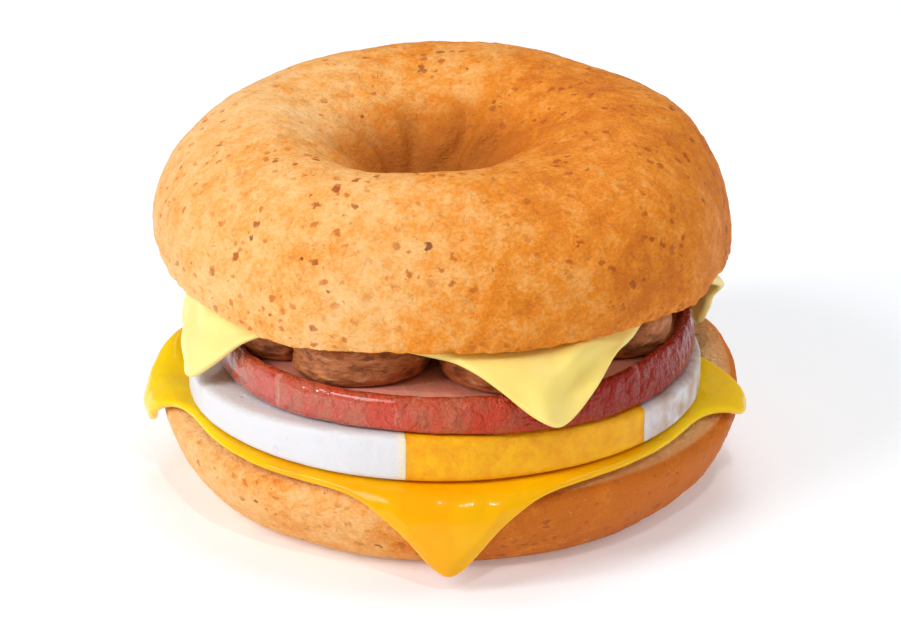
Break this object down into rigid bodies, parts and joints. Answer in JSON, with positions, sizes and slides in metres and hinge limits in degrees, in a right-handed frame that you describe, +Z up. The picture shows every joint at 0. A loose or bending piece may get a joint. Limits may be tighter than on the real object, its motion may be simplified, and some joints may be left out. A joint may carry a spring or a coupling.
{
  "type": "bagel breakfast sandwich",
  "caption": "Split bagel filled with melted yellow cheese, a round fried egg, back bacon, sausage slices and pale cheese.",
  "frame": {"origin": "on the surface that the sandwich stands on, under the middle of the whole", "axes": "+Z up through the layers, -Y the shown front with the long cheese drip, +X to the right"},
  "size_m": [0.104, 0.1036, 0.0669],
  "materials": {
    "crust": "baked crust, golden tan with fine red-brown specks",
    "yellow_cheese": "melted, smooth and glossy",
    "pale_cheese": "soft satin",
    "egg_white": "moist, faintly pitted",
    "egg_yolk": "set yolk, slightly mottled",
    "bacon": "wet cured meat, red rim and pink face",
    "sausage": "browned meat with fine folds"
  },
  "bodies": {
    "root": {"bagel_bottom": "crust", "cheese_yellow": "yellow_cheese", "egg_white": "egg_white", "egg_yolk": "egg_yolk", "bacon": "bacon", "sausage_1": "sausage", "sausage_2": "sausage", "sausage_3": "sausage", "sausage_4": "sausage", "sausage_5": "sausage", "sausage_6": "sausage", "sausage_7": "sausage", "cheese_pale": "pale_cheese", "bagel_top": "crust"}
  },
  "joints": []
}
